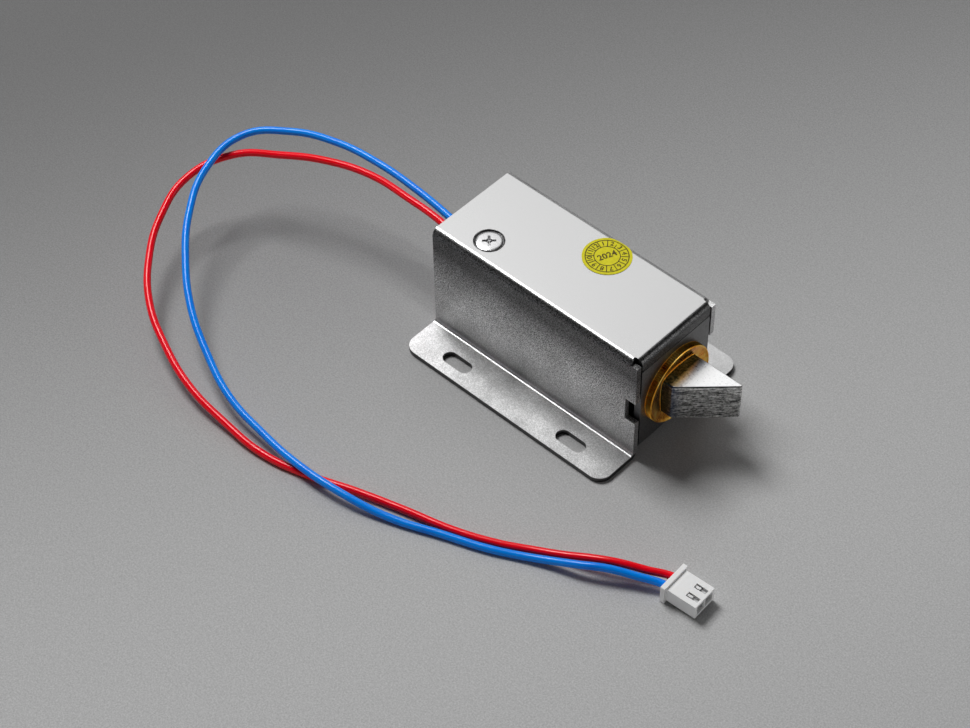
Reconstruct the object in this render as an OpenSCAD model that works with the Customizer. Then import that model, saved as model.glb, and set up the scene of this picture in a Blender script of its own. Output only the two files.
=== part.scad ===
// Solenoid lock. A folded sheet housing stands on two slotted feet and holds a
// coil in a steel yoke. A latch bolt with a slanted nose slides in a brass bush
// at the front, and two leads run from the open rear to a small plug.
// Millimetres. The origin is the centre of the four slots on the feet's
// underside. +X points out along the bolt and +Z points up.

/* [Housing] */
// Length of the folded housing
body_l = 54; // [50:0.5:64]
// Width over the two side walls
body_w = 23.4; // [22.4:0.1:28]
// Height from the feet's underside to the top
body_h = 27.6; // [26:0.1:32]
// Width over both feet
feet_w = 42.8; // [41.6:0.1:50]
// Thickness of the housing sheet
sheet_t = 1.2; // [0.8:0.1:1.5]
// Inner radius of the two bends along the top
top_bend_r = 0.3; // [0.1:0.1:1]
// Inner radius of the bend between a wall and its foot
foot_bend_r = 0.8; // [0.3:0.1:1.4]
// Corner radius of the feet
foot_corner_r = 3; // [1:0.1:4]

/* [Slots] */
// Distance between slot centres along the body
slot_pitch_x = 31; // [26:0.5:36]
// How far the slots lie outside the middle of each foot's flat part
slot_shift = 0.35; // [0:0.05:0.6]
// Slot length, end to end
slot_l = 7.2; // [4:0.1:10]
// Slot width
slot_w = 3.2; // [2.2:0.1:3.8]

/* [Front edge] */
// Height of the lip bent down over the front, from the top
lip_h = 3.1; // [2.4:0.1:3.6]
// Inner radius of the lip's bend
lip_bend_r = 0.2; // [0.1:0.1:0.6]
// Corner radius of the lip
lip_corner_r = 0.8; // [0.3:0.1:1.2]
// Slit between the lip and each wall
lip_slit = 0.4; // [0.2:0.1:0.8]
// Length of wall that stands ahead of the top
corner_l = 1.7; // [1.5:0.1:2.4]
// How much lower the wall's top is there
corner_drop = 1.2; // [0.8:0.1:2]
// Diameter of the relief hole at each front corner
relief_d = 0.7; // [0.6:0.1:1.6]
// Depth of the notch in each wall's front edge
notch_l = 2.6; // [1.5:0.1:4]
// Height of the notch in the near wall
notch_near_h = 5.8; // [3:0.1:8]
// Height of the notch in the far wall
notch_far_h = 10; // [3:0.1:11]
// How far the notches' middle lies below the bolt's axis
notch_drop = 0.4; // [0:0.1:2]

/* [Yoke] */
// Thickness of the yoke strip
yoke_t = 1.6; // [1.2:0.1:2]
// Length over the front and rear plates
yoke_l = 41.6; // [38:0.1:46]
// Gap between the yoke and each wall
yoke_gap = 0.4; // [0.2:0.1:0.8]
// Height of the yoke's base above the feet's underside
yoke_lift = 1.4; // [0.5:0.1:2]
// Inner radius of the yoke's bends
yoke_bend_r = 0.4; // [0.2:0.1:0.8]
// Length of the flange under the top, behind the rear plate
flange_l = 7; // [6:0.1:9]
// Gap between the front plate and the lip above it
lip_gap = 0.2; // [0.1:0.1:0.6]
// Room round the leads in the rear plate's corner notch
lead_notch_gap = 0.5; // [0.2:0.1:0.7]

/* [Bush] */
// Width of the brass ring round the bush
ring_lip = 1.14; // [0.8:0.01:1.9]
// Height of the ring in front of the plate
ring_t = 1.6; // [0.8:0.1:2]
// Size of the bevel on the ring's front edge
ring_bevel = 0.2; // [0.1:0.1:0.4]
// Depth of the dished face inside the ridge
dish_depth = 0.4; // [0.2:0.05:0.6]
// Thinnest wall of the bush, at the corners of its hole
bush_wall = 0.9; // [0.5:0.1:1.2]
// Depth of the bush behind the housing's front
bush_depth = 4.1; // [3:0.1:6]

/* [Latch bolt] */
// How much narrower the square nose is than the plunger
nose_cut_w = 3.4; // [3:0.1:5]
// How much lower the square nose is than the plunger
nose_cut_h = 3.8; // [3:0.1:5]
// Reach of the bolt ahead of the housing
bolt_reach = 13; // [12:0.1:16]
// Straight length of the near side ahead of the housing
bolt_side = 3.3; // [2:0.1:4.5]
// Width of the flat at the tip
bolt_tip = 0.5; // [0.2:0.1:1.5]
// Clearance of the bolt in the bush, each side
bolt_fit = 0.15; // [0.1:0.05:0.3]
// Travel of the bolt
travel = 10; // [6:0.1:11]
// Gap between the plunger's shoulder and the bush at rest
stop_gap = 0.3; // [0.2:0.05:0.5]
// Gap left behind the plunger when it is drawn in
end_gap = 0.3; // [0.2:0.05:0.5]

/* [Return spring] */
// Wall of the plunger and the core round the spring's pockets
pocket_wall = 3.3; // [2.8:0.1:3.6]
// Diameter of the spring wire
spring_wire = 0.6; // [0.4:0.05:0.7]
// Number of turns
spring_turns = 13; // [9:1:15]
// Gap between the wires of each closed end turn
closed_gap = 0.06; // [0.02:0.01:0.1]
// Clearance round the spring in its pockets
spring_fit = 0.3; // [0.2:0.05:0.5]
// Depth of the pocket in the plunger
spring_pocket = 12; // [8:0.1:14]
// Depth of the pocket in the core
core_pocket = 2; // [1:0.1:3]

/* [Core and coil] */
// Length of the core in front of the rear plate
core_l = 5; // [4:0.1:7]
// Diameter of the core's riveted tail
rivet_d = 6; // [5:0.1:8]
// Diameter of the rivet head behind the yoke
rivet_head_d = 9; // [8.4:0.1:11]
// Height of the rivet head
rivet_head_h = 1.2; // [0.8:0.1:2]
// Thickness of the washer on the core's face
washer_t = 0.5; // [0.3:0.05:1]
// Clearance of the plunger in the bobbin, each side
plunger_fit = 0.2; // [0.15:0.05:0.3]
// Wall of the bobbin's tube
bobbin_wall = 0.7; // [0.5:0.05:0.8]
// Thickness of the bobbin's end flanges
flange_t = 1; // [0.8:0.1:1.6]
// Gap between the bobbin and the walls or base
coil_gap = 0.4; // [0.2:0.1:0.6]
// How far the taped winding stays below the flanges' rim
winding_inset = 0.4; // [0.2:0.1:0.6]
// Depth of the taped winding
winding_h = 2.3; // [1.5:0.1:3]
// Thickness of the tape round the winding
tape_t = 0.25; // [0.1:0.05:0.4]
// Running gap between pieces assembled inside the yoke
seat_gap = 0.05; // [0.02:0.01:0.1]

/* [Fixing screw] */
// Distance of the screw from the housing's rear edge
screw_from_rear = 10.4; // [9:0.1:11]
// Distance of the screw from the near wall's outside
screw_from_side = 5.5; // [5.3:0.1:7]
// Diameter of the screw
screw_d = 3.5; // [3:0.1:4]
// Diameter of its countersunk head
screw_head_d = 6.3; // [6:0.1:7]
// Depth of the head's cone
screw_head_h = 1.5; // [1.2:0.1:2]
// How far the screw comes through the yoke's flange
screw_tail = 0.7; // [0:0.1:0.8]
// How far the head lies below the top
screw_sink = 0.1; // [0.05:0.05:0.3]
// Clearance round the screw, each side
screw_fit = 0.1; // [0.05:0.05:0.2]
// Length of the cross recess
recess_l = 3.3; // [2.5:0.1:4]
// Width of the cross recess
recess_w = 0.8; // [0.5:0.1:1.2]
// Depth of the cross recess
recess_h = 1.1; // [0.6:0.1:1.2]
// Turn of the cross recess from the body's length
recess_turn = 44; // [0:1:89]

/* [Date label] */
// Diameter of the round label
label_d = 10.1; // [8:0.1:10.8]
// Thickness of the label
label_t = 0.1; // [0.05:0.05:0.2]
// Distance of the label from the housing's rear edge
label_from_rear = 30.6; // [24:0.1:36]
// Distance of the label from the far wall's outside
label_from_side = 5.4; // [5.4:0.1:8]

/* [Leads] */
// Diameter over the insulation
lead_d = 1.6; // [1.2:0.05:1.7]
// Length of the sleeve over each solder joint
sleeve_l = 5; // [4:0.1:8]
// Wall of the sleeve
sleeve_wall = 0.3; // [0.2:0.05:0.4]
// Gap between the sleeves and the tape under them
sleeve_gap = 0.25; // [0.05:0.05:0.3]

/* [Plug] */
// Distance between the two contacts
pin_pitch = 2.5; // [2.5:0.1:3]
// Width of the plug's nose
plug_w = 6; // [5.6:0.1:6.6]
// Height of the plug's nose
plug_h = 3.3; // [3.2:0.1:4.2]
// Length of the plug
plug_l = 7.8; // [7.4:0.1:9]
// Width of the grip at the plug's rear
grip_w = 7.2; // [7:0.1:8]
// Height of the grip
grip_h = 4.4; // [4.3:0.1:6]
// Length of the grip
grip_l = 1; // [0.6:0.1:1.6]
// Size of the square socket round each contact
socket_w = 1.9; // [1.8:0.05:2.1]
// Clearance of the contacts in the plug, each side
plug_fit = 0.15; // [0.05:0.05:0.2]
// Clearance of the leads in their holes, each side
lead_fit = 0.3; // [0.1:0.05:0.3]
// Depth of the round lead holes
lead_hole_l = 2.2; // [1.8:0.1:2.6]
// Width of the windows over the contacts
window_w = 1.1; // [0.8:0.1:1.4]
// Distance of the windows from the plug's rear
window_x = 4.6; // [4.2:0.1:4.8]
// Size of the pin hole in each contact
pin_w = 0.7; // [0.5:0.05:0.9]

/* [Hidden] */
$fn = 96;

// Where the middle of the plug's rear lies, and the plug's turn about the vertical
plug_x = 53.2;
plug_y = -31;
plug_turn = 3;

// Where the solder joints lie on the coil, as turns about the bolt's axis
red_joint_turn = 140.5;
blue_joint_turn = 124.8;

// Centre lines of the leads from the open rear to the plug, as x, y and the
// height above the table, which is a share of the blue joint's height
RED_RUN = [
    [-21.5, -7, 0.952], [-30.5, -5.3, 0.979], [-40.7, -4.7, 0.97], [-51.9, -4.5, 0.934],
    [-62.5, -6.8, 0.88], [-72.5, -10.8, 0.794], [-82, -16.2, 0.691], [-86.2, -25.5, 0.578],
    [-83.6, -35.9, 0.469], [-78, -44.5, 0.375], [-70.2, -51.7, 0.284], [-60, -56.7, 0.19],
    [-49.5, -59.8, 0.108], [-38.6, -60.7, 0.041], [-28, -60.8, 0.005], [-17.6, -58.6, 0],
    [-7, -54.9, 0], [3, -51.9, 0], [13.7, -49, 0], [22, -45.6, 0], [28.6, -42, 0.005],
    [33.6, -39.6, 0.036], [38.5, -37.3, 0.088], [43.1, -34.9, 0.106], [48.1, -32.2, 0.081]];

BLUE_RUN = [
    [-21.5, -4.8, 0.984], [-30.5, -3.1, 0.979], [-41.5, -1.8, 0.975], [-53.1, -1.5, 0.97],
    [-64, -2.6, 0.948], [-74.3, -6, 0.898], [-82.4, -12.8, 0.826], [-82.4, -23.5, 0.722],
    [-77.4, -33.1, 0.605], [-70, -41.2, 0.487], [-61.2, -48.1, 0.37], [-51.5, -53, 0.257],
    [-41, -56.8, 0.158], [-30.5, -58.1, 0.095], [-20, -58.8, 0.077], [-8.4, -58, 0.063],
    [2.1, -55.4, 0.009], [12.5, -51.3, 0], [21.5, -47.8, 0], [28, -44.5, 0.005],
    [33, -42.1, 0.036], [37.9, -40, 0.088], [42.4, -37.4, 0.106], [47.6, -34.6, 0.081]];

// Facets round a lead, points between two points of a route, and the spring's facets
lead_facets = 8;
lead_steps = 2;
wire_facets = 6;
turn_steps = 16;
// A cut runs this far past the face that it opens
past = 1;

front_x = body_l / 2;
rear_x = -body_l / 2;
axis_z = body_h / 2;
inner_w = body_w - 2 * sheet_t;
crease_y = body_w / 2 + foot_bend_r;
slot_y = (crease_y + feet_w / 2) / 2 + slot_shift;
lip_w = inner_w - 2 * lip_slit;
lip_z = body_h - lip_h;
top_front_x = front_x - corner_l;
top_under_z = body_h - sheet_t;

yoke_w = inner_w - 2 * yoke_gap;
yoke_outer_r = yoke_bend_r + yoke_t;
yoke_rear_x = front_x - yoke_l;
rear_plate_x = yoke_rear_x + yoke_t;
base_top_z = yoke_lift + yoke_t;
plate_top_z = lip_z - lip_gap;

bobbin_r = min(inner_w / 2, axis_z - base_top_z) - coil_gap;
tape_r = bobbin_r - winding_inset;
winding_r = tape_r - tape_t;
bobbin_tube_r = tape_r - winding_h;
bore_r = bobbin_tube_r - bobbin_wall;
plunger_r = bore_r - plunger_fit;

bolt_w = 2 * plunger_r - nose_cut_w;
bolt_h = 2 * plunger_r - nose_cut_h;
hole_w = bolt_w + 2 * bolt_fit;
hole_h = bolt_h + 2 * bolt_fit;
bush_r = norm([hole_w, hole_h]) / 2 + bush_wall;
bush_back_x = front_x - bush_depth;
ring_r = bush_r + ring_lip;
ring_front_x = front_x + ring_t;

core_x = rear_plate_x + core_l;
plunger_rear_x = core_x + washer_t + end_gap + travel;
shoulder_x = bush_back_x - stop_gap;
tip_x = front_x + bolt_reach;
bobbin_front_x = bush_back_x - seat_gap;
bobbin_rear_x = rear_plate_x + seat_gap;

pocket_r = plunger_r - pocket_wall;
spring_r = pocket_r - spring_fit - spring_wire / 2;
spring_rear_x = core_x - core_pocket;
spring_front_x = plunger_rear_x + spring_pocket;

screw_x = rear_x + screw_from_rear;
screw_y = screw_from_side - body_w / 2;
screw_z = body_h - screw_sink;
screw_l = sheet_t + yoke_t + screw_tail - screw_sink;
label_x = rear_x + label_from_rear;
label_y = body_w / 2 - label_from_side;

sleeve_r = lead_d / 2 + seat_gap + sleeve_wall;
joint_r = tape_r + seat_gap + sleeve_gap + sleeve_r;
joint_x = yoke_rear_x + sleeve_l + 2 * seat_gap;

grip_z = grip_h / 2;
contact_x = lead_hole_l + seat_gap;

// Point over the coil at a turn about the bolt's axis
function over_coil(x, turn) = [x, joint_r * cos(turn), axis_z + joint_r * sin(turn)];
// Point in the middle of a lead's hole in the plug, x behind the plug's rear
function in_plug(x, side) =
    let (y = side * pin_pitch / 2)
    [plug_x + x * cos(plug_turn) - y * sin(plug_turn),
        plug_y + x * sin(plug_turn) + y * cos(plug_turn), grip_z];
// Whole route of a lead: off the coil, through the rear plate, its run, the plug
function route(turn, run, side) =
    let (height = over_coil(0, blue_joint_turn)[2] - lead_d / 2)
    concat([over_coil(joint_x, turn), over_coil(yoke_rear_x + yoke_t / 2, turn)],
        [for (p = run) [p[0], p[1], lead_d / 2 + p[2] * height]],
        [in_plug(-lead_d / 4, side), in_plug(lead_hole_l - seat_gap, side)]);
// Vector of length one
function unit(v) = v / norm(v);
// Point at share t of the smooth curve from b to c, with neighbours a and d
function curve_point(a, b, c, d, t) =
    (2 * b + (c - a) * t + (2 * a - 5 * b + 4 * c - d) * t * t
        + (3 * b - a - 3 * c + d) * t * t * t) / 2;
// A route with smooth points added between its own
function smooth_route(p) = concat(
    [for (i = [0 : len(p) - 2], k = [0 : lead_steps - 1])
        curve_point(p[max(i - 1, 0)], p[i], p[i + 1], p[min(i + 2, len(p) - 1)], k / lead_steps)],
    [p[len(p) - 1]]);
// Direction of a path at point i
function heading(p, i) = unit(p[min(i + 1, len(p) - 1)] - p[max(i - 1, 0)]);
// One ring of a swept wire: s is any direction across the path t
function wire_ring(c, t, s, r, n) =
    let (u = unit(s - (s * t) * t), v = cross(t, u))
    [for (k = [0 : n - 1]) c + r * (cos(360 * k / n) * u + sin(360 * k / n) * v)];

// Round wire of radius r along a path, with a direction across it at each point
module swept_wire(path, across, r, n) {
    rings = len(path);
    points = [for (i = [0 : rings - 1]) each wire_ring(path[i], heading(path, i), across[i], r, n)];
    walls = [for (i = [0 : rings - 2], k = [0 : n - 1])
        let (a = i * n + k, b = i * n + (k + 1) % n) each [[a, a + n, b], [b, a + n, b + n]]];
    ends = [[for (k = [0 : n - 1]) k], [for (k = [n - 1 : -1 : 0]) (rings - 1) * n + k]];
    polyhedron(points, concat(walls, ends), convexity = 8);
}

module lead(points) {
    path = smooth_route(points);
    across = [for (i = [0 : len(path) - 1]) cross([0, 0, 1], heading(path, i))];
    swept_wire(path, across, lead_d / 2, lead_facets);
}

// Turned shape about the bolt's axis, from a profile of [x, radius] points
module turned(profile) {
    translate([0, 0, axis_z])
        rotate([90, 0, 90])
            rotate_extrude()
                polygon([for (p = profile) [p[1], p[0]]]);
}

// Straight tube or rod about the bolt's axis
module axis_rod(x0, x1, r) {
    translate([x0, 0, axis_z])
        rotate([0, 90, 0])
            cylinder(h = x1 - x0, r = r);
}

// Rectangle with round corners, centred
module round_rect(w, h, r) {
    square([w, h - 2 * r], center = true);
    square([w - 2 * r, h], center = true);
    for (i = [-1, 1], k = [-1, 1])
        translate([i * (w / 2 - r), k * (h / 2 - r)])
            circle(r);
}

// Arch with rounded shoulders
module arch(w, h, r) {
    translate([-w / 2, 0])
        square([w, h - r]);
    translate([-w / 2 + r, 0])
        square([w - 2 * r, h]);
    for (i = [-1, 1])
        translate([i * (w / 2 - r), h - r])
            circle(r);
}

// Section of the housing across the body: two feet, two walls and the top
module housing_section() {
    crease_z = sheet_t + foot_bend_r;
    difference() {
        union() {
            arch(body_w, body_h, top_bend_r + sheet_t);
            translate([-feet_w / 2, 0])
                square([feet_w, sheet_t]);
            translate([-crease_y, 0])
                square([2 * crease_y, crease_z]);
        }
        translate([0, -past])
            arch(inner_w, top_under_z + past, top_bend_r);
        for (i = [-1, 1]) {
            translate([i * crease_y, crease_z])
                circle(foot_bend_r);
            difference() {
                translate([i * inner_w / 2 - crease_z / 2, 0])
                    square([crease_z, crease_z]);
                translate([i * crease_y, crease_z])
                    circle(foot_bend_r + sheet_t);
                translate([i * (crease_y + body_w / 2), 0])
                    square([body_w, body_h], center = true);
            }
        }
    }
}

// The section pushed from x0 to x1
module housing_run(x0, x1) {
    translate([x0, 0, 0])
        rotate([90, 0, 90])
            linear_extrude(x1 - x0)
                housing_section();
}

// Quarter ring, the section of a bend in a strip
module quarter_bend(inner_r, outer_r) {
    intersection() {
        difference() {
            circle(outer_r);
            circle(inner_r);
        }
        square(outer_r);
    }
}

// Lip bent down from the top over the front plate
module lip() {
    outer_r = lip_bend_r + sheet_t;
    translate([0, lip_w / 2, 0])
        rotate([90, 0, 0])
            linear_extrude(lip_w) {
                translate([top_front_x - sheet_t, top_under_z])
                    square([front_x - outer_r - top_front_x + sheet_t, sheet_t]);
                translate([front_x - sheet_t, lip_z])
                    square([sheet_t, lip_h - outer_r]);
                translate([front_x - outer_r, body_h - outer_r])
                    quarter_bend(lip_bend_r, outer_r);
            }
}

// Countersunk hole for the screw, through the top and the yoke's flange
module screw_hole() {
    hole_d = screw_d + 2 * screw_fit;
    head_d = screw_head_d + 2 * screw_fit;
    translate([screw_x, screw_y, screw_z]) {
        translate([0, 0, -screw_l - past])
            cylinder(h = screw_l + past, d = hole_d);
        translate([0, 0, -screw_head_h])
            cylinder(h = screw_head_h, d1 = hole_d, d2 = head_d);
        cylinder(h = screw_sink + past, d = head_d);
    }
}

module slot_cut() {
    linear_extrude(3 * sheet_t, center = true) {
        square([slot_l - slot_w, slot_w], center = true);
        for (i = [-1, 1])
            translate([i * (slot_l - slot_w) / 2, 0])
                circle(slot_w / 2);
    }
}

module notch_cut(side, h) {
    notch_w = 3 * sheet_t;
    translate([front_x - notch_l, side * (body_w - sheet_t) / 2 - notch_w / 2,
            axis_z - notch_drop - h / 2])
        cube([notch_l + past, notch_w, h]);
}

// Folded sheet housing with its feet, lip, notches and holes
module housing() {
    color("lightgray")
        difference() {
            union() {
                intersection() {
                    union() {
                        housing_run(rear_x, top_front_x);
                        difference() {
                            housing_run(top_front_x, front_x);
                            translate([top_front_x - past, -body_w / 2 - past, body_h - corner_drop])
                                cube([corner_l + 2 * past, body_w + 2 * past, corner_drop + past]);
                            translate([top_front_x - past, -inner_w / 2, -past])
                                cube([corner_l + 2 * past, inner_w, body_h + 2 * past]);
                        }
                    }
                    linear_extrude(body_h)
                        round_rect(body_l, feet_w, foot_corner_r);
                }
                lip();
            }
            for (i = [-1, 1], k = [-1, 1])
                translate([i * slot_pitch_x / 2, k * slot_y, sheet_t / 2])
                    slot_cut();
            notch_cut(-1, notch_near_h);
            notch_cut(1, notch_far_h);
            for (k = [-1, 1]) {
                translate([top_front_x, k * (lip_w / 2 + lip_slit), top_under_z - past])
                    cylinder(h = sheet_t + 2 * past, d = relief_d);
                difference() {
                    translate([front_x - sheet_t - past, k * (lip_w - lip_corner_r) / 2, lip_z])
                        translate([0, -lip_corner_r / 2, -past])
                            cube([sheet_t + 2 * past, lip_corner_r, lip_corner_r + past]);
                    translate([front_x - sheet_t - 2 * past, k * (lip_w / 2 - lip_corner_r),
                            lip_z + lip_corner_r])
                        rotate([0, 90, 0])
                            cylinder(h = sheet_t + 4 * past, r = lip_corner_r);
                }
            }
            screw_hole();
        }
}

// Side view of the yoke strip: front plate, base, rear plate and top flange
module yoke_profile() {
    turn = yoke_outer_r;
    translate([yoke_rear_x + turn, yoke_lift])
        square([yoke_l - 2 * turn, yoke_t]);
    translate([front_x - yoke_t, yoke_lift + turn])
        square([yoke_t, plate_top_z - yoke_lift - turn]);
    translate([yoke_rear_x, yoke_lift + turn])
        square([yoke_t, top_under_z - yoke_lift - 2 * turn]);
    translate([rear_plate_x - turn - flange_l, top_under_z - yoke_t])
        square([flange_l, yoke_t]);
    translate([front_x - turn, yoke_lift + turn])
        rotate(-90)
            quarter_bend(yoke_bend_r, yoke_outer_r);
    translate([yoke_rear_x + turn, yoke_lift + turn])
        rotate(180)
            quarter_bend(yoke_bend_r, yoke_outer_r);
    translate([rear_plate_x - turn, top_under_z - turn])
        quarter_bend(yoke_bend_r, yoke_outer_r);
}

// Notch in the rear plate's corner, round the two leads
module lead_notch() {
    room = lead_d / 2 + lead_notch_gap;
    low_z = over_coil(0, red_joint_turn)[2] - room;
    translate([yoke_rear_x - past, -yoke_w / 2 - past, low_z])
        cube([yoke_t + 2 * past, yoke_w / 2 + past + over_coil(0, blue_joint_turn)[1] + room,
            top_under_z - yoke_outer_r - low_z]);
}

// Steel strip that carries the bush, the core and the coil
module yoke() {
    color("gray")
        difference() {
            translate([0, yoke_w / 2, 0])
                rotate([90, 0, 0])
                    linear_extrude(yoke_w)
                        yoke_profile();
            axis_rod(front_x - yoke_t - past, front_x + past, bush_r + seat_gap);
            axis_rod(yoke_rear_x - past, rear_plate_x + past, rivet_d / 2 + seat_gap);
            lead_notch();
            screw_hole();
        }
}

// Brass bush: a ring with a dished face in front of the plate, and the body
// behind it, with the square hole that the bolt slides in
module guide_bush() {
    ridge_r = ring_r - ring_bevel;
    rim_x = ring_front_x - ring_bevel;
    dish_r = bush_r - bush_wall / 2;
    color("goldenrod")
        difference() {
            turned([[bush_back_x, 0], [bush_back_x, bush_r], [front_x, bush_r], [front_x, ring_r],
                [rim_x, ring_r], [ring_front_x, ridge_r],
                [ring_front_x - dish_depth, dish_r], [ring_front_x - dish_depth, 0]]);
            translate([front_x, 0, axis_z])
                cube([2 * (bush_depth + past), hole_w, hole_h], center = true);
        }
}

// Outline of the bolt's nose from above
module nose_outline() {
    half = bolt_w / 2;
    polygon([[shoulder_x - past, -half], [front_x + bolt_side, -half], [tip_x, half - bolt_tip],
        [tip_x, half], [shoulder_x - past, half]]);
}

// Steel latch bolt: a round plunger with a square, slanted nose milled on it
module latch_bolt() {
    color("silver")
        difference() {
            union() {
                axis_rod(plunger_rear_x, shoulder_x, plunger_r);
                intersection() {
                    translate([0, 0, axis_z - bolt_h / 2])
                        linear_extrude(bolt_h)
                            nose_outline();
                    axis_rod(shoulder_x - past, tip_x, plunger_r);
                }
            }
            axis_rod(plunger_rear_x - past, spring_front_x, pocket_r);
        }
}

// Compression spring with a closed turn at each end
module return_spring() {
    closed = spring_wire + closed_gap;
    x0 = spring_rear_x + spring_wire / 2;
    x1 = spring_front_x - spring_wire / 2;
    pitch = (x1 - x0 - 2 * closed) / (spring_turns - 2);
    count = spring_turns * turn_steps;
    path = [for (i = [0 : count])
        let (t = i / turn_steps,
            x = x0 + closed * min(t, 1) + pitch * max(0, min(t, spring_turns - 1) - 1)
                + closed * max(0, t - spring_turns + 1))
        [x, spring_r * cos(360 * t), axis_z + spring_r * sin(360 * t)]];
    across = [for (i = [0 : count]) [0, cos(360 * i / turn_steps), sin(360 * i / turn_steps)]];
    color("darkgray")
        swept_wire(path, across, spring_wire / 2, wire_facets);
}

// Fixed core, riveted through the rear plate
module rear_core() {
    head_x = yoke_rear_x - seat_gap;
    color("dimgray")
        difference() {
            turned([[head_x - rivet_head_h, 0], [head_x - rivet_head_h, rivet_head_d / 2 - rivet_head_h / 2],
                [head_x - rivet_head_h / 2, rivet_head_d / 2], [head_x, rivet_head_d / 2],
                [head_x, rivet_d / 2], [bobbin_rear_x, rivet_d / 2], [bobbin_rear_x, plunger_r],
                [core_x, plunger_r], [core_x, 0]]);
            axis_rod(spring_rear_x, core_x + past, pocket_r);
        }
}

// Thin washer that keeps the plunger from sticking to the core
module core_washer() {
    color("ivory")
        difference() {
            axis_rod(core_x, core_x + washer_t, plunger_r);
            axis_rod(core_x - past, core_x + washer_t + past, pocket_r);
        }
}

// Moulded bobbin between the rear plate and the bush
module bobbin() {
    color("black")
        difference() {
            union() {
                axis_rod(bobbin_rear_x, bobbin_front_x, bobbin_tube_r);
                axis_rod(bobbin_rear_x, bobbin_rear_x + flange_t, bobbin_r);
                axis_rod(bobbin_front_x - flange_t, bobbin_front_x, bobbin_r);
            }
            axis_rod(bobbin_rear_x - past, bobbin_front_x + past, bore_r);
        }
}

// Tube about the axis between the bobbin's flanges
module coil_layer(inner_r, outer_r) {
    x0 = bobbin_rear_x + flange_t + seat_gap;
    x1 = bobbin_front_x - flange_t - seat_gap;
    difference() {
        axis_rod(x0, x1, outer_r);
        axis_rod(x0 - past, x1 + past, inner_r);
    }
}

// Copper winding, taken as one solid
module winding() {
    color("peru")
        coil_layer(bobbin_tube_r + seat_gap, winding_r);
}

// Tape wrapped round the winding
module coil_tape() {
    color("gold")
        coil_layer(winding_r + seat_gap, tape_r + seat_gap);
}

// Countersunk screw with a cross recess, through the top into the yoke's flange
module fixing_screw() {
    color("lightgray")
        translate([screw_x, screw_y, screw_z])
            difference() {
                union() {
                    translate([0, 0, -screw_l])
                        cylinder(h = screw_l, d = screw_d);
                    translate([0, 0, -screw_head_h])
                        cylinder(h = screw_head_h, d1 = screw_d, d2 = screw_head_d);
                }
                for (turn = [0, 90])
                    rotate(recess_turn + turn)
                        translate([-recess_l / 2, -recess_w / 2, -recess_h])
                            cube([recess_l, recess_w, recess_h + past]);
            }
}

// Round date label on the top, wrapped over the start of the far bend
module date_label() {
    bend_r = top_bend_r + sheet_t;
    color("yellow")
        intersection() {
            translate([label_x - label_d, 0, 0])
                rotate([90, 0, 90])
                    linear_extrude(2 * label_d)
                        difference() {
                            arch(body_w + 2 * label_t, body_h + label_t, bend_r + label_t);
                            arch(body_w, body_h, bend_r);
                        }
            translate([label_x, label_y, body_h - bend_r])
                cylinder(h = bend_r + past, d = label_d);
        }
}

// Sleeve over the joint of a lead and the coil's wire
module joint_sleeve(turn) {
    translate(over_coil(joint_x - lead_d, turn))
        rotate([0, 90, 0])
            difference() {
                cylinder(h = sleeve_l, r = sleeve_r);
                translate([0, 0, -past])
                    cylinder(h = lead_d + seat_gap + past, r = sleeve_r - sleeve_wall);
            }
}

module joint_sleeve_red() {
    color("black")
        joint_sleeve(red_joint_turn);
}

module joint_sleeve_blue() {
    color("black")
        joint_sleeve(blue_joint_turn);
}

module lead_red() {
    color("red")
        lead(route(red_joint_turn, RED_RUN, 1));
}

module lead_blue() {
    color("dodgerblue")
        lead(route(blue_joint_turn, BLUE_RUN, -1));
}

// Puts a shape where the plug lies: x runs from the plug's rear to its nose
module at_plug() {
    translate([plug_x, plug_y, 0])
        rotate(plug_turn)
            children();
}

// Block of the given size, centred across the plug and on its height
module plug_block(x0, x1, y, w, h) {
    translate([x0, y - w / 2, grip_z - h / 2])
        cube([x1 - x0, w, h]);
}

// Moulded plug with a grip at its rear and a cavity for each contact
module plug_housing() {
    cavity_w = socket_w + 2 * plug_fit;
    color("white")
        at_plug()
            difference() {
                union() {
                    plug_block(0, grip_l, 0, grip_w, grip_h);
                    plug_block(grip_l / 2, plug_l, 0, plug_w, plug_h);
                }
                for (i = [-1, 1]) {
                    translate([-past, i * pin_pitch / 2, grip_z])
                        rotate([0, 90, 0])
                            cylinder(h = lead_hole_l + 2 * past, d = lead_d + 2 * lead_fit);
                    plug_block(lead_hole_l, plug_l + past, i * pin_pitch / 2, cavity_w, cavity_w);
                    translate([window_x, i * pin_pitch / 2 - window_w / 2, grip_z])
                        cube([plug_l - window_x - grip_l / 2, window_w, grip_h]);
                }
            }
}

// Stamped contact: a square socket with a lug that shows in the window
module contact(side) {
    socket_x = contact_x + socket_w / 2;
    end_x = plug_l - grip_l / 2;
    at_plug()
        translate([0, side * pin_pitch / 2, 0])
            difference() {
                union() {
                    plug_block(contact_x, socket_x + past, 0, socket_w / 2, socket_w / 2);
                    plug_block(socket_x, end_x, 0, socket_w, socket_w);
                    translate([window_x + plug_fit, -window_w / 4, grip_z])
                        cube([window_w, window_w / 2, plug_h / 2 - plug_fit]);
                }
                plug_block(socket_x + past, end_x + past, 0, pin_w, pin_w);
            }
}

module contact_red() {
    color("silver")
        contact(1);
}

module contact_blue() {
    color("silver")
        contact(-1);
}

housing();
yoke();
guide_bush();
latch_bolt();
return_spring();
rear_core();
core_washer();
bobbin();
winding();
coil_tape();
fixing_screw();
date_label();
joint_sleeve_red();
joint_sleeve_blue();
lead_red();
lead_blue();
plug_housing();
contact_red();
contact_blue();
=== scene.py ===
import math

import bmesh
import bpy
from mathutils import Matrix, Quaternion, Vector


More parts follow.
